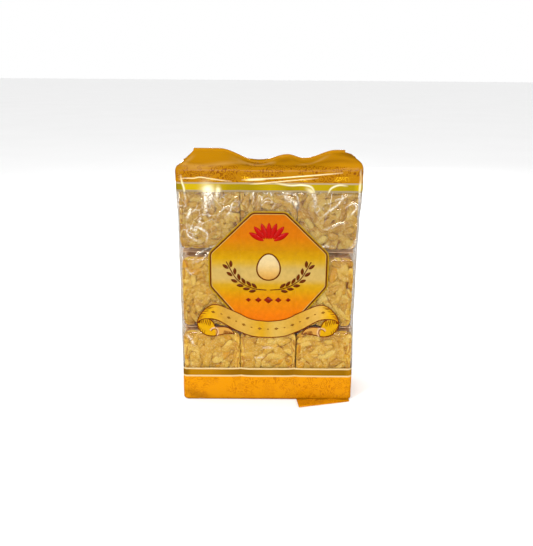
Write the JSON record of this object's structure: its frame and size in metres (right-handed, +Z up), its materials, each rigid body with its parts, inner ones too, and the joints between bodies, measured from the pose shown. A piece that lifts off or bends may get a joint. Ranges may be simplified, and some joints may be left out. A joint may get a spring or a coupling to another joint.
{
  "type": "pack of sachima",
  "caption": "Shut clear film pack of sachima sweet blocks standing on its base, with printed orange bands, a label panel and a folded end seal.",
  "frame": {"origin": "middle of the flat base, on the surface that the pack stands on", "axes": "+Z up through the ridge of the roof, +X along the front to the viewer's right, the front faces -Y"},
  "size_m": [0.1794, 0.0732, 0.2602],
  "materials": {
    "printed_film": "gloss film, printed orange and gold, clear between the bands",
    "sweet_block": "golden fried dough strips held by amber syrup",
    "clear_film": "thin clear wrapper film"
  },
  "bodies": {
    "root": {"film_pack": "printed_film"}
  },
  "joints": []
}
